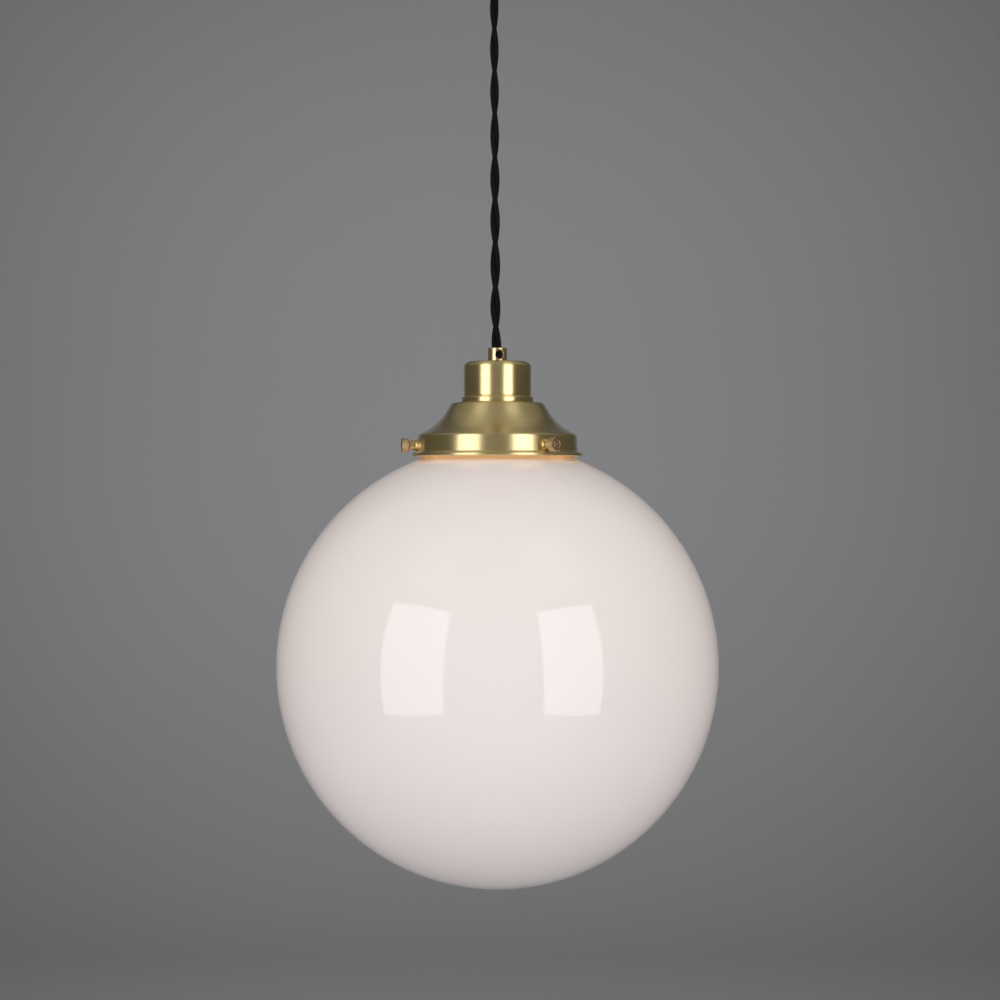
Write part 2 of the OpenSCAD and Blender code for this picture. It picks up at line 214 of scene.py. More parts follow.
class Nodes:
    def __init__(self, name):
        self.m = bpy.data.materials.new(name)
        self.m.use_nodes = True
        self.t = self.m.node_tree
        self.b = self.t.nodes["Principled BSDF"]

    def add(self, kind, **props):
        n = self.t.nodes.new(kind)
        for k, v in props.items():
            setattr(n, k, v)
        return n

    def link(self, a, b):
        self.t.links.new(a, b)

    def put(self, **values):
        for k, v in values.items():
            self.b.inputs[k.replace("_", " ")].default_value = v

    def coords(self):
        return self.add("ShaderNodeTexCoord").outputs["Object"]

    def math(self, op, a, b=None):
        n = self.add("ShaderNodeMath", operation=op)
        for i, x in enumerate((a, b)):
            if x is None:
                continue
            if isinstance(x, (int, float)):
                n.inputs[i].default_value = x
            else:
                self.link(x, n.inputs[i])
        return n.outputs[0]

    def noise(self, vec, scale, detail=2.0, rough=0.5):
        n = self.add("ShaderNodeTexNoise")
        n.inputs["Scale"].default_value = scale
        n.inputs["Detail"].default_value = detail
        n.inputs["Roughness"].default_value = rough
        self.link(vec, n.inputs["Vector"])
        return n.outputs["Fac"]

    def ramp(self, fac, stops):
        n = self.add("ShaderNodeValToRGB")
        e = n.color_ramp.elements
        while len(e) < len(stops):
            e.new(0.5)
        for el, (p, c) in zip(e, stops):
            el.position = p
            el.color = (*c, 1.0)
        self.link(fac, n.inputs["Fac"])
        return n.outputs["Color"]

    def span(self, fac, lo, hi, a=0.0, b=1.0):
        n = self.add("ShaderNodeMapRange")
        n.inputs["From Min"].default_value, n.inputs["From Max"].default_value = a, b
        n.inputs["To Min"].default_value, n.inputs["To Max"].default_value = lo, hi
        self.link(fac, n.inputs["Value"])
        return n.outputs["Result"]

    def bump(self, height, dist, strength=1.0, into=None):
        n = self.add("ShaderNodeBump")
        n.inputs["Distance"].default_value = dist
        n.inputs["Strength"].default_value = strength
        self.link(height, n.inputs["Height"])
        self.link(n.outputs["Normal"], into or self.b.inputs["Normal"])
        return n

    def polar(self):
        """(radius, height, angle) of a turned piece's own coordinates."""
        s = self.add("ShaderNodeSeparateXYZ")
        self.link(self.coords(), s.inputs[0])
        x, y, z = s.outputs
        r = self.math("SQRT", self.math("ADD", self.math("MULTIPLY", x, x), self.math("MULTIPLY", y, y)))
        return r, z, self.math("ARCTAN2", y, x)

    def joined(self, x, y, z):
        c = self.add("ShaderNodeCombineXYZ")
        for i, v in enumerate((x, y, z)):
            if isinstance(v, (int, float)):
                c.inputs[i].default_value = v
            else:
                self.link(v, c.inputs[i])
        return c.outputs[0]


def turned_brass(name, dark, light, rough=(0.22, 0.30), aniso=0.6, grain=1.0):
    """Spun or turned brass under clear lacquer: fine lines round the axis, and faint uneven toning."""
    n = Nodes(name)
    r, z, a = n.polar()
    lines = n.noise(n.joined(n.math("MULTIPLY", r, 2600.0), n.math("MULTIPLY", z, 2600.0), n.math("MULTIPLY", a, 0.8)), 1.0, 3.0, 0.65)
    broad = n.noise(n.joined(n.math("MULTIPLY", r, 500.0), n.math("MULTIPLY", z, 500.0), n.math("MULTIPLY", a, 1.5)), 1.0, 2.0)
    tone = n.noise(n.coords(), 38.0, 4.0, 0.6)
    mix = n.math("ADD", n.math("MULTIPLY", tone, 0.6), n.math("MULTIPLY", broad, 0.4))
    n.link(n.ramp(mix, [(0.32, dark), (0.68, light)]), n.b.inputs["Base Color"])
    n.link(n.span(n.math("ADD", n.math("MULTIPLY", lines, 0.6), n.math("MULTIPLY", tone, 0.4)), rough[0], rough[1], 0.3, 0.7), n.b.inputs["Roughness"])
    n.bump(n.math("ADD", lines, n.math("MULTIPLY", broad, 0.5)), 0.000012 * grain, 0.35)
    # the fine turning lines spread a highlight along the profile, across the lines
    tangent = n.add("ShaderNodeTangent", direction_type="RADIAL", axis="Z")
    n.link(tangent.outputs[0], n.b.inputs["Tangent"])
    n.put(Metallic=1.0, Anisotropic=aniso, Anisotropic_Rotation=0.25, Coat_Weight=1.0, Coat_Roughness=0.22, Coat_IOR=1.5)
    return n.m


def plain_metal(name, dark, light, rough=(0.25, 0.4), scale=220.0):
    """Machined or plated metal with fine scratches and faint stains."""
    n = Nodes(name)
    co = n.coords()
    tone = n.noise(co, scale, 4.0, 0.6)
    fine = n.noise(co, scale * 14, 2.0, 0.6)
    n.link(n.ramp(tone, [(0.3, dark), (0.7, light)]), n.b.inputs["Base Color"])
    n.link(n.span(tone, rough[0], rough[1], 0.3, 0.7), n.b.inputs["Roughness"])
    n.bump(fine, 0.00001, 0.4)
    n.put(Metallic=1.0)
    return n.m


def plastic(name, dark, light, rough=(0.3, 0.45), scale=300.0, bump=0.00001, **extra):
    n = Nodes(name)
    co = n.coords()
    tone = n.noise(co, scale, 3.0, 0.55)
    n.link(n.ramp(tone, [(0.3, dark), (0.7, light)]), n.b.inputs["Base Color"])
    n.link(n.span(tone, rough[0], rough[1], 0.3, 0.7), n.b.inputs["Roughness"])
    n.bump(n.noise(co, scale * 6, 2.0), bump, 0.5)
    n.put(**extra)
    return n.m


def opal_glass(name):
    """White opal glass, fire-polished outside, with the faint waviness of a blown ball."""
    n = Nodes(name)
    co = n.coords()
    cloud = n.noise(co, 9.0, 3.0, 0.5)
    n.link(n.ramp(cloud, [(0.25, (0.815, 0.775, 0.770)), (0.75, (0.835, 0.797, 0.794))]), n.b.inputs["Base Color"])
    # painted glow: an emission band makes the glass next to the gallery glow warm, standing in for light that the wall
    # carries out from under the brass
    s = n.add("ShaderNodeSeparateXYZ")
    n.link(co, s.inputs[0])
    near = n.span(s.outputs[2], 0.0, 1.0, -0.3715, -0.3575)
    near = n.math("POWER", near, 1.3)
    painted_glow = n.ramp(near, [(0.0, (0.0, 0.0, 0.0)), (0.4, (0.022, 0.003, 0.0)), (0.7, (0.13, 0.062, 0.02)), (1.0, (0.34, 0.18, 0.058))])
    up = n.add("ShaderNodeVectorMath", operation="SCALE")
    up.inputs["Scale"].default_value = 500.0
    n.link(painted_glow, up.inputs[0])
    n.link(up.outputs[0], n.b.inputs["Emission Color"])
    n.put(Emission_Strength=0.002)
    n.bump(n.noise(co, 16.0, 1.0), 0.00004, 0.25)
    n.put(Roughness=0.05, IOR=1.5, Specular_IOR_Level=0.5)
    return n.m


def clear_glass(name, tint=(0.97, 0.98, 0.98)):
    n = Nodes(name)
    co = n.coords()
    n.link(n.ramp(n.noise(co, 40.0, 2.0), [(0.3, tint), (0.7, (1.0, 1.0, 1.0))]), n.b.inputs["Base Color"])
    n.bump(n.noise(co, 60.0, 1.0), 0.00002, 0.2)
    n.put(Roughness=0.02, IOR=1.5, Transmission_Weight=1.0)
    return n.m


def braid_cotton(name, dark, light):
    """Braided cotton: each yarn's fibres show as fine streaks, with a soft sheen."""
    n = Nodes(name)
    s = n.add("ShaderNodeSeparateXYZ")
    n.link(n.coords(), s.inputs[0])
    x, y, z = s.outputs
    fuzz = n.noise(n.joined(n.math("MULTIPLY", x, 5200.0), n.math("MULTIPLY", y, 5200.0), n.math("MULTIPLY", z, 1500.0)), 1.0, 3.0, 0.7)
    patch = n.noise(n.coords(), 420.0, 2.0)
    mix = n.math("ADD", n.math("MULTIPLY", fuzz, 0.65), n.math("MULTIPLY", patch, 0.35))
    n.link(n.ramp(mix, [(0.3, dark), (0.7, light)]), n.b.inputs["Base Color"])
    n.link(n.span(fuzz, 0.72, 0.92, 0.3, 0.7), n.b.inputs["Roughness"])
    n.bump(fuzz, 0.00008, 0.7)
    n.put(Sheen_Weight=0.05, Sheen_Roughness=0.4, Sheen_Tint=(0.5, 0.52, 0.56, 1.0), Specular_IOR_Level=0.11)
    return n.m


M = {
    "brass": turned_brass("spun_brass", (0.80, 0.645, 0.315), (0.87, 0.715, 0.365), (0.31, 0.36), 0.84, 0.5),
    "grip": turned_brass("turned_brass_grip", (0.80, 0.64, 0.32), (0.87, 0.71, 0.37), (0.29, 0.35), 0.6, 0.6),
    "screw": turned_brass("turned_brass_screw", (0.46, 0.305, 0.15), (0.72, 0.49, 0.27), (0.24, 0.36), 0.2, 1.2),
    "collar": turned_brass("turned_brass_collar", (0.62, 0.46, 0.20), (0.76, 0.58, 0.28), (0.28, 0.38), 0.3, 0.8),
    "raw": plain_metal("raw_brass", (0.66, 0.50, 0.27), (0.78, 0.61, 0.35), (0.22, 0.36)),
    "steel": plain_metal("zinc_steel", (0.50, 0.51, 0.52), (0.66, 0.67, 0.68), (0.28, 0.42), 160.0),
    "dark": plain_metal("blackened_steel", (0.0015, 0.0015, 0.0018), (0.0075, 0.007, 0.007), (0.24, 0.36), 900.0),
    "alu": plain_metal("bulb_shell", (0.62, 0.62, 0.61), (0.76, 0.76, 0.75), (0.22, 0.34)),
    "opal": opal_glass("opal_glass"),
    "clear": clear_glass("bulb_glass_clear"),
    "black_glass": plastic("black_glass", (0.012, 0.012, 0.016), (0.03, 0.03, 0.036), (0.08, 0.16)),
    "braid": braid_cotton("braided_cotton", (0.001, 0.001, 0.0013), (0.0085, 0.0085, 0.0105)),
    "porcelain": plastic("porcelain", (0.78, 0.765, 0.73), (0.84, 0.83, 0.80), (0.28, 0.42), 120.0, 0.00002, Subsurface_Weight=0.0),
    "bakelite": plastic("bakelite", (0.018, 0.014, 0.012), (0.045, 0.035, 0.028), (0.16, 0.3), 90.0),
    "nylon": plastic("nylon", (0.72, 0.71, 0.67), (0.80, 0.79, 0.76), (0.34, 0.5), 260.0),
    "brown": plastic("core_brown", (0.13, 0.055, 0.022), (0.20, 0.09, 0.04), (0.34, 0.5), 400.0),
    "blue": plastic("core_blue", (0.02, 0.08, 0.34), (0.04, 0.13, 0.46), (0.34, 0.5), 400.0),
    "filament": plastic("filament_phosphor", (0.80, 0.52, 0.08), (0.92, 0.68, 0.16), (0.5, 0.7), 900.0),
}


# ------------------------------------------------------------------ camera

cam_data = bpy.data.cameras.new("camera")
cam_data.sensor_width = 36.0
cam_data.lens = 68.4
cam = bpy.data.objects.new("camera", cam_data)
cam_data.shift_y = -0.02  # the horizon lies a little above the picture's middle
cam.location = (0.0017, -1.295, -(DROP + 52.5) * MM)
cam.rotation_euler = (math.radians(90), 0, 0)
root_coll.objects.link(cam)
scene.camera = cam


# ------------------------------------------------------------------ flex

# Heights, in mm, where one strand passes in front of the other, from the ceiling down.
CROSSINGS = [-10.0, -38.5, -66.9, -95.5, -124.5, -154.5, -183.4, -212.7, -243.4, -269.8, -298.5]


def flex_line():
    """Centreline of the hanging flex, in mm: it leaves the rose straight, keeps a slight set to one side, and enters the lamp's grip upright."""
    zs = [-30.2, -33.0, -38.0, -44.0, -52.0, -88.0, -115.0, -150.0, -190.0, -215.0, -258.0, -271.0, -282.0, -286.0, -292.0]
    xs = [0.0, -0.3, -1.4, -2.1, -2.25, -2.1, -1.98, -1.85, -1.7, -1.5, -1.45, -1.15, -0.85, -0.6, 0.0]
    z = np.linspace(zs[0], zs[-1], 1050)
    x = np.interp(z, zs[::-1], xs[::-1])
    k = np.ones(61) / 61
    pad = np.r_[np.full(30, x[0]), x, np.full(30, x[-1])]
    x = np.convolve(pad, k, mode="valid")
    return x, z


def make_flex():
    x, z = flex_line()
    turns = np.interp(z, CROSSINGS[::-1], [270.0 + 180.0 * i for i in range(len(CROSSINGS))][::-1])
    k = np.ones(81) / 81
    pad = np.r_[turns[0] + (turns[1] - turns[0]) * np.arange(-40, 0), turns, turns[-1] + (turns[-1] - turns[-2]) * np.arange(1, 41)]
    turns = np.convolve(pad, k, mode="valid")
    t = (z - z[-1]) / (z[0] - z[-1])  # 1 at the rose, 0 at the lamp
    rad = np.interp(t, [0.0, 0.03, 0.06, 0.2, 0.45, 0.6, 0.94, 0.98, 1.0], [1.76, 1.76, 1.87, 1.80, 1.72, 1.59, 1.56, 1.42, 1.40])
    off = rad * 0.90
    sides, n = 40, len(z)
    verts, faces = [], []
    for strand in (0, 1):
        ang = np.radians(turns + 180.0 * strand)
        cx, cy = x + off * np.cos(ang), off * np.sin(ang)
        c = np.stack([cx, cy, z], 1)
        tan = np.gradient(c, axis=0)
        tan /= np.linalg.norm(tan, axis=1)[:, None]
        # a frame that turns with the strands' lay, so that each braid keeps its place on its own core
        u = np.stack([np.cos(ang), np.sin(ang), np.zeros(n)], 1)
        u -= (u * tan).sum(1)[:, None] * tan
        u /= np.linalg.norm(u, axis=1)[:, None]
        w = np.cross(tan, u)
        s = np.r_[0, np.cumsum(np.linalg.norm(np.diff(c, axis=0), axis=1))]
        base = len(verts)
        for i in range(n):
            for j in range(sides):
                f = 2 * math.pi * j / sides
                a = 8 * f / (2 * math.pi) + s[i] / 1.9
                b = 8 * f / (2 * math.pi) - s[i] / 1.9
                ha, hb = abs(math.cos(math.pi * a)), abs(math.cos(math.pi * b))
                over = 0.5 + 0.5 * math.sin(math.pi * (a + b)) * math.cos(math.pi * (a - b) * 0.5)
                h = max(ha * (0.55 + 0.45 * over), hb * (1.0 - 0.45 * over))
                flat = 1.0 - 0.07 * max(0.0, -math.cos(f)) ** 2  # pressed a little flat where the strands meet
                rr = rad[i] * flat - 0.13 * (1.0 - h)
                p = c[i] + rr * (math.cos(f) * u[i] + math.sin(f) * w[i])
                verts.append((p[0] * MM, p[1] * MM, p[2] * MM))
        for i in range(n - 1):
            for j in range(sides):
                k2 = (j + 1) % sides
                a, b = base + i * sides + j, base + i * sides + k2
                faces.append((a, b, b + sides, a + sides))
        faces.append(tuple(base + j for j in range(sides))[::-1])
        faces.append(tuple(base + (n - 1) * sides + j for j in range(sides)))
    ob = add_mesh("twisted_flex", verts, faces, M["braid"], True, 60)
    path = [(float(x[i]) * MM, 0.0, float(z[i]) * MM) for i in range(0, n, 30)] + [(float(x[-1]) * MM, 0.0, float(z[-1]) * MM)]
    return ob, path


flex, flex_path = make_flex()
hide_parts("flex")
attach(flex, "flex")


# ------------------------------------------------------------------ globe

def make_globe():
    R, t, neck, lip = 149.94, 2.8, 46.0, 49.5
    zc = -35.73 - math.sqrt(R * R - neck * neck)
    a1 = math.degrees(math.asin((-35.73 - zc) / R))
    out = arc((0, zc), R, -90, a1 - 0.9, 84)
    out[0] = (0.0, zc - R)
    # fillet where the ball turns up into the neck
    e = out[-1]
    out += [(46.9, e[1] + 0.95 * (46.0 - 46.9) * -1), (46.25, -34.3), (46.0, -33.0)]
    out += [(46.0, -30.0), (46.0, -27.4), (46.3, -26.85)]
    out += rounded([(46.3, -26.6), (lip, -26.6, 1.4), (lip, -22.8, 1.5), (45.4, -22.8), (45.4, -22.8)], False, 6)[1:-1]
    inner_r = R - t
    ai = math.degrees(math.acos(43.0 / inner_r))
    out += rounded([(45.4, -22.8), (43.0, -22.8, 1.2), (43.0, -30.0)], False, 5)[1:]
    out += [(43.0, -36.0)]
    inn = arc((0, zc), inner_r, ai - 0.8, -90, 84)
    inn[-1] = (0.0, zc - inner_r)
    out += [(43.4, inn[0][1] + 0.9)] + inn
    # one closed loop from the outer pole to the inner pole
    ob = lathe("opal_globe", out, M["opal"], seg=192, z0=-DROP, closed=True, sharp=None)
    return ob


globe = make_globe()
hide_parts("globe")
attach(globe, "lamp")


# ------------------------------------------------------------------ gallery

GALLERY = [(2.6, 58, 6), (6.4, 0, 1), (35.0, -29.2, 8), (5.7, 0, 1), (1.8, 57.2, 6), (9.8, 0, 1)]


def make_gallery():
    pts = turtle((29.9, 0.0), 0.0, GALLERY, fine=3, line=4)
    t = 0.8
    outer = [(q[0], q[1]) for q in pts]
    inner = [(q[0] - t * math.sin(math.radians(q[2])), q[1] - t * math.cos(math.radians(q[2]))) for q in pts]
    e = outer[-1]
    # the rim turns out into a ledge and rolls under into a bead
    bead = (56.4, -35.25)
    rim = rounded([outer[-2], (e[0] + 0.02, -33.65, 0.7), (bead[0] + 0.1, -33.5, 0.2)], False, 6)[1:-1]
    rim += arc(bead, 1.595, 86, -200, 30)
    prof = [(20.0, 0.0)] + outer[:-1] + rim + [(54.3, -33.8)] + inner[::-1][1:] + [(20.0, -t)]
    ob = lathe("gallery_spun", prof, M["brass"], seg=192, z0=-DROP, sharp=38)
    cutters = []
    for a in SCREW_A:
        c = lathe("c", [(0, 48.0), (2.2, 48.0), (2.2, 70.0), (0, 70.0)], M["brass"], seg=32)
        c.matrix_world = radial_matrix(a, -29.0 - DROP)
        cutters.append(c)
    bpy.context.view_layer.update()
    cut(ob, *cutters)
    resharpen(ob, 38)
    return ob


gallery = make_gallery()
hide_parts("gallery")
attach(gallery, "lamp")


# ------------------------------------------------------------------ cap over the lampholder

def make_cap():
    prof = rounded([(5.05, 28.0, 0.15), (23.0, 28.0, 3.75), (23.0, 5.2, 0.1), (22.62, 4.95, 0.15), (22.62, 4.75, 0.15), (23.0, 4.5, 0.1), (23.0, 4.0, 0.2), (24.55, 3.85, 0.75), (24.55, 0.0, 0.7),
                    (22.0, 0.0, 0.2), (22.0, 27.0, 2.8), (5.05, 27.0, 0.15)], True, 9)
    return lathe("holder_cap_spun", prof, M["brass"], seg=160, z0=-DROP, sharp=50)


cap = make_cap()
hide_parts("holder_cap")
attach(cap, "lamp")


# ------------------------------------------------------------------ cord grips and their screws

def make_grip(name, prof, z0, screw_z):
    ob = lathe(name, prof, M["grip"], seg=128, z0=z0, sharp=38)
    c = lathe("c", [(0, 2.0), (2.42, 2.0), (2.42, 5.2), (3.5, 6.4), (3.5, 9.0), (0, 9.0)], M["grip"], seg=64)
    c.matrix_world = radial_matrix(GRIP_A, screw_z)
    bpy.context.view_layer.update()
    cut(ob, c)
    resharpen(ob, 34)
    return ob


def make_grub(name, tip, screw_z, body, node):
    head = 5.62
    ob = lathe(name, rounded([(0, tip), (1.2, tip, 0.2), (2.39, tip + 0.7, 0.2), (2.39, head, 0.28), (0, head)], False, 5), M["dark"], seg=64, sharp=35)
    s = box_mesh("c", (-3, -0.36, head - 0.95), (3, 0.36, head + 1), M["dark"])
    s.rotation_euler = (0, 0, math.radians(0))
    m = radial_matrix(GRIP_A, screw_z)
    ob.matrix_world = m
    s.matrix_world = m @ Matrix.Rotation(math.radians(SLOT_TURN), 4, "Z")
    bpy.context.view_layer.update()
    cut(ob, s)
    resharpen(ob, 30)
    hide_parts(node)
    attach(ob, body)
    return ob


SLOT_TURN = -55.0

lamp_grip = make_grip(
    "cord_grip_lamp",
    rounded([(2.6, 21.0, 0.1), (5.0, 21.0, 0.4), (5.0, 28.0, 0.1), (6.3, 28.0, 0.15), (6.5, 28.2, 0.1), (6.5, 37.4, 0.55),
             (4.2, 37.4, 0.45), (4.0, 36.6, 0.1), (4.0, 30.0, 0.1), (2.6, 30.0, 0.1)], True, 6),
    -DROP, 32.8 - DROP)
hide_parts("lamp_grip")
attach(lamp_grip, "lamp")
make_grub("grip_screw_lamp", 3.75, 32.8 - DROP, "lamp", "lamp_grip_screw")

rose_grip = make_grip(
    "cord_grip_rose",
    rounded([(4.0, -16.6, 0.1), (5.0, -16.6, 0.4), (5.0, -22.6, 0.1), (6.3, -22.6, 0.15), (6.5, -22.8, 0.1), (6.5, -32.0, 0.55),
             (5.4, -32.0, 0.35), (5.0, -31.4, 0.2), (5.0, -27.7, 0.1), (4.0, -27.7, 0.1)], True, 6),
    0.0, -25.2)
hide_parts("rose_grip")
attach(rose_grip, "rose")
make_grub("grip_screw_rose", 3.1, -25.2, "rose", "rose_grip_screw")


# ------------------------------------------------------------------ ceiling rose

def make_rose():
    e = (28.0, -8.0)
    out = arc(e, 22.0, -90, 0, 36, 14.6)
    inn = arc(e, 21.0, 0, -90, 36, 13.6)
    prof = [(5.05, -22.6)] + out + [(50.0, -0.35), (49.85, -0.05), (49.65, 0.0), (49.3, 0.0), (49.05, -0.1), (49.0, -0.4)] + inn + [(5.05, -21.6)]
    ob = lathe("rose_cover_spun", prof, M["brass"], seg=160, sharp=40)
    cutters = []
    for a in (0.0, 180.0):
        c = lathe("c", [(0, 40.0), (1.7, 40.0), (1.7, 60.0), (0, 60.0)], M["brass"], seg=32)
        c.matrix_world = radial_matrix(a, -5.5)
        cutters.append(c)
    bpy.context.view_layer.update()
    cut(ob, *cutters)
    resharpen(ob, 40)
    return ob


rose = make_rose()
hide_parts("rose_cover")
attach(rose, "rose")


def thread(pitch, depth, lo, hi, fade=0.0):
    """A radius change that winds a right-hand V thread with rounded crests round local +Z."""
    def f(r, z, a):
        if not lo < z < hi:
            return r
        u = (z / pitch - a / (2 * math.pi)) % 1.0
        tri = abs(2 * u - 1)
        w = 1.0
        if fade:
            w = min(1.0, (z - lo) / fade, (hi - z) / fade)
        return r - depth * w * (1 - (0.5 - 0.5 * math.cos(math.pi * tri)))
    return f


def knurl(n, lead, depth, lo, hi):
    def f(r, z, a):
        if not lo <= z <= hi:
            return r
        w = min(1.0, (z - lo) / 0.18, (hi - z) / 0.18)
        u = (n * a / (2 * math.pi) + z / lead) % 1.0
        v = (n * a / (2 * math.pi) - z / lead) % 1.0
        g = min(1.0, 1.7 * min(1 - abs(2 * u - 1), 1 - abs(2 * v - 1)))
        return r - depth * (1 - g) * max(0.0, w)
    return f


# ------------------------------------------------------------------ thumbscrews

def make_thumbscrew(i, angle):
    shank = dense([(1.95, 48.85), (1.95, 60.5)], 0.075)
    top = rounded([(1.95, 60.5), (1.95, 60.6, 0.05), (4.3, 60.6, 0.25), (4.78, 61.0, 0.2), (4.78, 61.2)], False, 4)[1:]
    side = dense([(4.78, 61.2), (4.78, 65.0)], 0.1)[1:]
    end = rounded([(4.78, 65.0), (4.78, 65.1, 0.12), (4.2, 65.7, 0.25), (2.9, 65.7, 0.15), (2.7, 65.52, 0.12), (2.1, 65.52, 0.12),
                   (1.9, 65.66, 0.12), (0.5, 65.66, 0.12), (0.25, 65.45, 0.15), (0.0, 65.45)], False, 5)[1:]
    prof = [(0.0, 48.8), (1.6, 48.8)] + shank + top + side + end
    th = thread(0.7, 0.34, 48.8, 60.3, 0.5)
    kn = knurl(32, 1.3, 0.2, 61.15, 65.05)
    def shape(r, z, a):
        return kn(r, z, a) if r > 4.7 else (th(r, z, a) if z < 60.5 and r > 1.9 else r)
    ob = lathe(f"thumbscrew_turned_{i}", prof, M["screw"], seg=272, closed=False, sharp=50, shape=shape)
    ob.matrix_world = radial_matrix(angle, -29.0 - DROP)
    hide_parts(f"thumbscrew_{i}")
    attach(ob, f"thumbscrew_{i}")
    tip = lathe(f"screw_tip_{i}", rounded([(0, 46.3), (1.75, 46.3, 0.35), (1.98, 47.0, 0.3), (1.98, 48.8, 0.12), (0, 48.8)], False, 5), M["nylon"], seg=48, closed=False, sharp=40)
    tip.matrix_world = radial_matrix(angle, -29.0 - DROP)
    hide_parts(f"thumbscrew_{i}_tip")
    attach(tip, f"thumbscrew_{i}_tip")


for i, a in enumerate(SCREW_A, 1):
    make_thumbscrew(i, a)


def make_bosses():
    obs = []
    for a in SCREW_A:
        b = lathe("b", rounded([(2.05, 54.2, 0.05), (3.9, 54.2), (3.9, 55.0), (3.6, 55.5, 0.3), (3.4, 56.0, 0.4), (3.4, 59.7, 0.3), (2.3, 59.7, 0.15), (2.05, 59.4, 0.05)], True, 5),
                  M["collar"], seg=72, sharp=40)
        b.data.transform(radial_matrix(a, -29.0 - DROP))
        obs.append(b)
    bm = bmesh.new()
    for b in obs:
        bm.from_mesh(b.data)
    me = obs[0].data
    bm.to_mesh(me)
    bm.free()
    for b in obs[1:]:
        bpy.data.objects.remove(b, do_unlink=True)
    ob = obs[0]
    ob.name = "screw_collars"
    # keep only what stands outside the gallery's wall
    pts = turtle((29.9, 0.0), 0.0, GALLERY, fine=3, line=2)
    c = lathe("c", [(0.0, 0.0)] + [(q[0] - 0.03, q[1]) for q in pts] + [(0.0, pts[-1][1])], M["grip"], seg=192, z0=-DROP)
    bpy.context.view_layer.update()
    cut(ob, c)
    resharpen(ob, 36)
    return ob


bosses = make_bosses()
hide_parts("thumbscrew_bosses")
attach(bosses, "lamp")


# ------------------------------------------------------------------ rose side screws

def make_side_screws():
    obs = []
    for a in (0.0, 180.0):
        o = lathe("s", rounded([(0, 45.6), (1.2, 45.6, 0.15), (1.48, 46.0, 0.1), (1.48, 50.0, 0.08), (2.6, 50.0, 0.2), (2.8, 50.25, 0.12), (2.8, 51.3, 0.2),
                                (2.2, 52.0, 0.3), (0, 52.0)], False, 5), M["raw"], seg=96, closed=False, sharp=40, shape=lambda r, z, t: r - (0.09 * (0.5 - 0.5 * math.cos(28 * t)) if r > 2.7 else 0.0))
        s = box_mesh("c", (-4, -0.36, 51.25), (4, 0.36, 53.0), M["raw"])
        cut(o, s)
        o.data.transform(radial_matrix(a, -5.5))
        obs.append(o)
    bm = bmesh.new()
    for o in obs:
        bm.from_mesh(o.data)
    bm.to_mesh(obs[0].data)
    bm.free()
    bpy.data.objects.remove(obs[1], do_unlink=True)
    obs[0].name = "rose_screws_turned"
    resharpen(obs[0], 35)
    return obs[0]


rs = make_side_screws()
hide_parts("rose_side_screws")
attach(rs, "rose")


# ------------------------------------------------------------------ lampholder and bulb

def make_shell():
    P = 3.629
    out = dense([(13.62, -24.0), (13.62, -1.2)], 0.2)
    inn = [(r - 0.38, z) for r, z in out][::-1]
    prof = out + [(13.62, 0.5), (13.7, 0.9), (15.2, 0.9), (15.2, 1.5), (13.3, 1.5), (13.24, 0.5)] + inn
    f = lambda r, z, a: r if not (-24.5 < z < -1.1) else r - 0.95 * min(1.0, max(0.0, (-1.1 - z) / 1.2)) * (0.5 - 0.5 * math.cos(2 * math.pi * (-z / P + a / (2 * math.pi))))
    return lathe("screw_shell_rolled", prof, M["raw"], seg=96, z0=-DROP, sharp=50, shape=f)


def make_bulb_cap():
    P = 3.629
    body = dense([(13.16, -8.2), (13.16, -25.6)], 0.2)
    prof = [(6.6, -4.95), (10.2, -5.0), (11.2, -5.9), (12.05, -7.2)] + body + [(13.16, -26.3), (13.2, -27.3), (13.0, -27.6), (12.75, -27.5), (12.7, -26.0)]
    inn = [(r - 0.4, z) for r, z in body][::-1] + [(11.7, -7.6), (10.8, -6.3), (6.6, -5.4)]
    f = lambda r, z, a: r if not (-25.7 < z < -8.1) else r - 0.95 * min(1.0, (z + 25.7) / 1.0) * (0.5 - 0.5 * math.cos(2 * math.pi * (-z / P + a / (2 * math.pi))))
    return lathe("bulb_cap_rolled", prof + inn, M["alu"], seg=96, z0=-DROP, sharp=50, shape=f)


def envelope(t, n=40):
    pts = [(11.6 - t, -12.0), (11.6 - t, -24.6), (12.3 - t, -26.3), (12.6 - t, -27.4)]
    for i in range(n + 1):
        u = i / n
        pts.append((14.3 - t + (30.0 - 14.3) * (1 - math.cos(math.pi * u)) / 2, -29.5 - 47.5 * u))
    pts += [((30.0 - t) * math.cos(math.radians(a)), -77.0 + (30.0 - t) * math.sin(math.radians(a))) for a in np.linspace(-4, -90, 28)]
    pts[-1] = (0.0, -77.0 - 30.0 + t)
    return pts


def keep(ob, node, body):
    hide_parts(node)
    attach(ob, body)


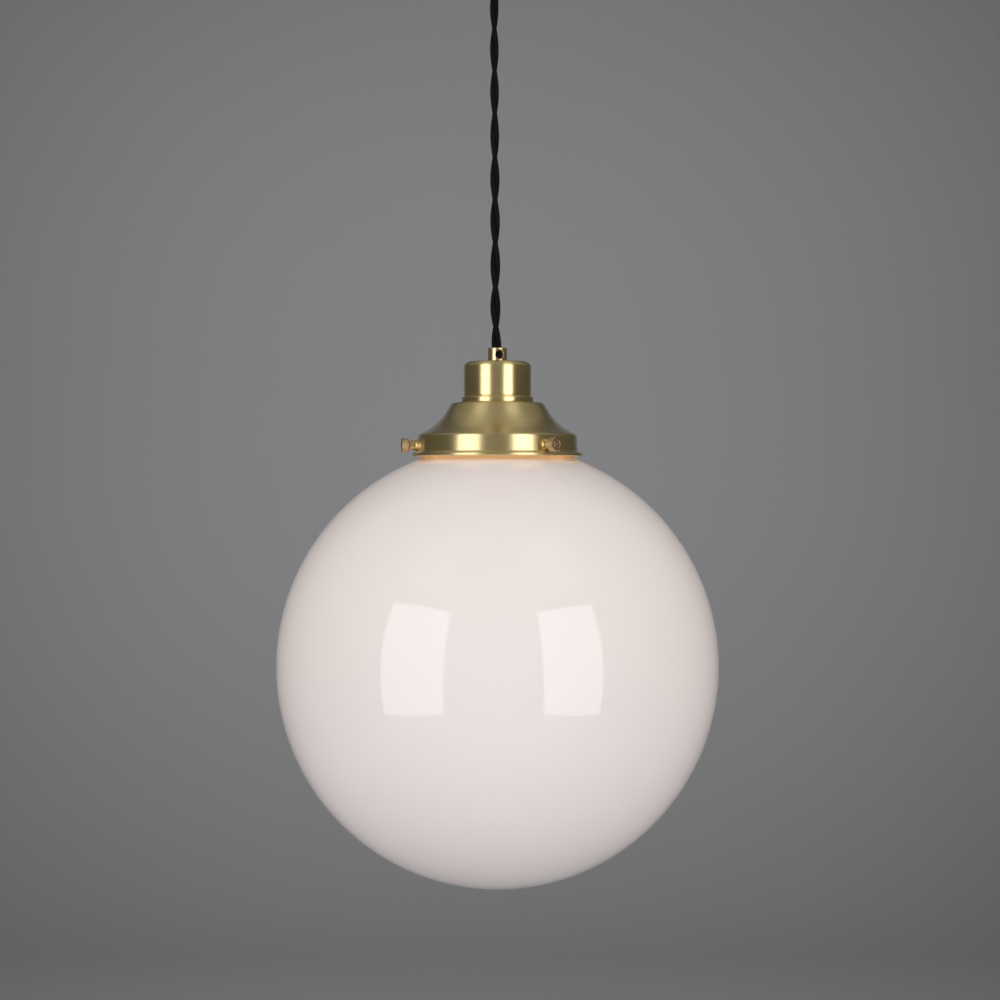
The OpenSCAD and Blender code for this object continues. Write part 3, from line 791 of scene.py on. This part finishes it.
keep(make_shell(), "screw_shell", "lamp")
keep(make_bulb_cap(), "bulb_cap", "bulb")
keep(lathe("bulb_glass_blown", envelope(0.0) + envelope(0.8)[::-1], M["clear"], seg=96, z0=-DROP, sharp=None), "bulb_glass", "bulb")
keep(lathe("holder_dome_moulded", rounded([(5.0, 26.8, 0.1), (7.5, 26.8, 0.4), (7.5, 19.6, 0.5)], False, 4)[0:]
           + arc((7.5, 10.0), 12.0, 84, 0, 24, 10.0) + [(19.5, 2.3), (19.2, 2.0), (18.0, 2.0)] + arc((7.5, 10.0), 10.5, 0, 90, 20, 8.4) + [(5.0, 18.4)],
           M["bakelite"], seg=96, z0=-DROP, sharp=45), "lampholder_dome", "lamp")
keep(lathe("holder_skirt_moulded", rounded([(18.0, 7.0, 0.2), (18.0, 2.0), (21.5, 2.0, 0.4), (21.5, 0.0), (19.75, 0.0)], False, 4)
           + dense([(19.7, -1.0), (19.7, -31.0)], 0.25) + rounded([(19.7, -31.0), (19.7, -32.0, 0.5), (17.2, -32.0, 0.5), (17.2, -1.0, 0.2), (15.5, -1.0, 0.1), (15.5, 1.5), (16.6, 1.5), (16.6, 7.0)], False, 4),
           M["bakelite"], seg=96, z0=-DROP, sharp=50,
           shape=lambda r, z, a: r - (0.45 * (0.5 - 0.5 * math.cos(2 * math.pi * (z / 2.0 - a / (2 * math.pi)))) if 19.6 < r < 19.74 and -31.0 < z < -1.2 else 0.0)),
     "lampholder_skirt", "lamp")
keep(lathe("shade_ring_moulded", rounded([(19.8, -0.8), (25.0, -0.8, 0.3), (25.0, -5.8, 0.8), (19.8, -5.8, 0.4)], True, 5), M["bakelite"], seg=144, z0=-DROP, sharp=50,
           shape=lambda r, z, a: r - (0.35 * (0.5 - 0.5 * math.cos(48 * a)) ** 2 if r > 24.9 else 0.0)),
     "shade_ring", "lamp")


# ------------------------------------------------------------------ carried-over CAD nodes

KEEP = {
    "ceiling_bracket": ("steel", 0.25), "rose_grip_washer": ("steel", 0.12), "rose_grip_nut": ("raw", 0.2), "terminal_block": ("porcelain", 0.35),
    "terminal_tubes": ("raw", 0.1), "terminal_screws": ("steel", 0.06), "terminal_fixing_screw": ("steel", 0.08), "earth_screw": ("raw", 0.08),
    "flex_clamped_end": ("braid", 0.2), "rose_live_core": ("brown", 0.0), "rose_neutral_core": ("blue", 0.0), "flex_bush": ("nylon", 0.12),
    "lampholder_insert": ("porcelain", 0.25), "centre_contact": ("raw", 0.08), "lampholder_screws": ("steel", 0.08), "lamp_live_core": ("brown", 0.0),
    "lamp_neutral_core": ("blue", 0.0), "bulb_contact": ("alu", 0.1), "bulb_insulator": ("black_glass", 0.3), "bulb_stem": ("clear", 0.0),
    "bulb_wires": ("steel", 0.0), "bulb_filaments": ("filament", 0.15),
}
for node, (mat, bev) in KEEP.items():
    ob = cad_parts[node]
    if ob.material_slots:
        for s in ob.material_slots:
            s.material = M[mat]
    else:
        ob.data.materials.append(M[mat])
    if bev:
        round_edges(ob, bev, 35, 2)


# ------------------------------------------------------------------ floor, backdrop, lights

def make_stage():
    n = Nodes("paper")
    co = n.coords()
    s = n.add("ShaderNodeSeparateXYZ")
    n.link(co, s.inputs[0])
    # painted light: the paper is coloured lighter round a point at x -0.1 m, z 0.05 m and darker away from it, a
    # painted fall-off of the studio light
    u = n.math("MULTIPLY", n.math("ADD", s.outputs[0], 0.1), 1 / 1.6)
    v = n.math("MULTIPLY", n.math("ADD", s.outputs[2], -0.05), 1 / 1.25)
    painted_falloff = n.math("ADD", n.math("MULTIPLY", u, u), n.math("MULTIPLY", v, v))
    painted_falloff = n.math("ADD", painted_falloff, n.math("MULTIPLY", n.noise(co, 2.0, 2.0), 0.06))
    lo, hi = (0.568, 0.594, 0.654), (0.274, 0.285, 0.313)
    n.link(n.ramp(n.math("MULTIPLY", painted_falloff, 0.8), [(0.0, lo), (1.0, hi)]), n.b.inputs["Base Color"])
    n.put(Roughness=0.9, Specular_IOR_Level=0.2)
    fz = -1.05
    prof = [(-3.2, fz), (1.4, fz)] + [(1.4 + 0.9 * math.sin(math.radians(a)), fz + 0.9 - 0.9 * math.cos(math.radians(a))) for a in range(6, 91, 6)] + [(2.3, 3.2)]
    verts = [(x, y, z) for x in (-2.4, 2.4) for y, z in prof]
    m = len(prof)
    faces = [(i, i + 1, m + i + 1, m + i) for i in range(m - 1)]
    ob = add_mesh("paper_sweep", verts, faces, n.m)


make_stage()


def softbox(name, az, el, dist, w, h, radiance, tint=(1.0, 1.0, 1.0)):
    """An area light aimed at the globe; az is degrees from the camera's side towards +X, el above the horizon."""
    c = Vector((0, 0, -(DROP + 178.5) * MM))
    a, e = math.radians(az), math.radians(el)
    d = Vector((math.sin(a) * math.cos(e), -math.cos(a) * math.cos(e), math.sin(e)))
    L = bpy.data.lights.new(name, "AREA")
    L.shape, L.size, L.size_y = "RECTANGLE", w, h
    L.energy = radiance * math.pi * w * h
    L.color = tint
    ob = bpy.data.objects.new(name, L)
    ob.location = c + d * dist
    ob.rotation_euler = (-d).to_track_quat("-Z", "Y").to_euler()
    root_coll.objects.link(ob)
    return ob


softbox("softbox_left", -41.7, 5.5, 1.6, 0.93, 1.49, 2.42)
softbox("softbox_right", 36.9, 5.5, 1.6, 0.86, 1.49, 2.56)
# weaker light above each softbox, on the ceiling of the set: it lifts the sloping brass
softbox("bounce_left", -46.0, 51.0, 1.6, 0.62, 0.8, 0.32)
softbox("bounce_right", 41.0, 51.0, 1.6, 0.60, 0.8, 0.42)

# Near fills that only even out the light on the matt pieces: no camera or mirror ray meets them.
for name, loc, size, radiance in (
    ("fill_top", (0.0, -0.25, 0.55), 1.4, 0.76),
    ("fill_left", (-1.05, -0.15, -0.45), 1.2, 0.60),
    ("fill_right", (1.05, -0.15, -0.45), 1.2, 0.68),
    ("fill_below", (0.0, -0.35, -1.0), 1.1, 0.42),
):
    d = Vector(loc) - Vector((0, 0, -0.5))
    az, el = math.degrees(math.atan2(d.x, -d.y)), math.degrees(math.asin(d.z / d.length))
    ob = softbox(name, az, el, d.length, size, size, radiance, (1.0, 0.88, 0.83))
    ob.visible_glossy = False
    ob.visible_camera = False

world = bpy.data.worlds.new("studio")
scene.world = world
world.use_nodes = True
wt = world.node_tree
bg = wt.nodes["Background"]
tc = wt.nodes.new("ShaderNodeTexCoord")
sep = wt.nodes.new("ShaderNodeSeparateXYZ")
wt.links.new(tc.outputs["Generated"], sep.inputs[0])
up = wt.nodes.new("ShaderNodeValToRGB")
for k, (p, v) in enumerate([(0.0, 0.10), (0.5, 0.055), (0.72, 0.17), (1.0, 0.36)]):
    if k > 1:
        up.color_ramp.elements.new(p)
    el_ = up.color_ramp.elements[k]
    el_.position = p
    el_.color = (v, v * 0.95, v * (0.64 if v < 0.11 else 0.80), 1.0)
mr = wt.nodes.new("ShaderNodeMapRange")
mr.inputs["From Min"].default_value, mr.inputs["From Max"].default_value = -1.0, 1.0
wt.links.new(sep.outputs["Z"], mr.inputs["Value"])
wt.links.new(mr.outputs["Result"], up.inputs["Fac"])
front = wt.nodes.new("ShaderNodeMapRange")  # a paler wall behind the camera
front.inputs["From Min"].default_value, front.inputs["From Max"].default_value = -0.78, -0.98
front.inputs["To Min"].default_value, front.inputs["To Max"].default_value = 0.0, 0.13
wt.links.new(sep.outputs["Y"], front.inputs["Value"])
add = wt.nodes.new("ShaderNodeMixRGB")
add.blend_type = "ADD"
add.inputs["Fac"].default_value = 1.0
wt.links.new(up.outputs["Color"], add.inputs[1])
wt.links.new(front.outputs["Result"], add.inputs[2])
wt.links.new(add.outputs["Color"], bg.inputs["Color"])
bg.inputs["Strength"].default_value = 1.0

scene.view_settings.view_transform = "Standard"
scene.view_settings.look = "None"
scene.view_settings.exposure = 0.0

bpy.context.view_layer.update()
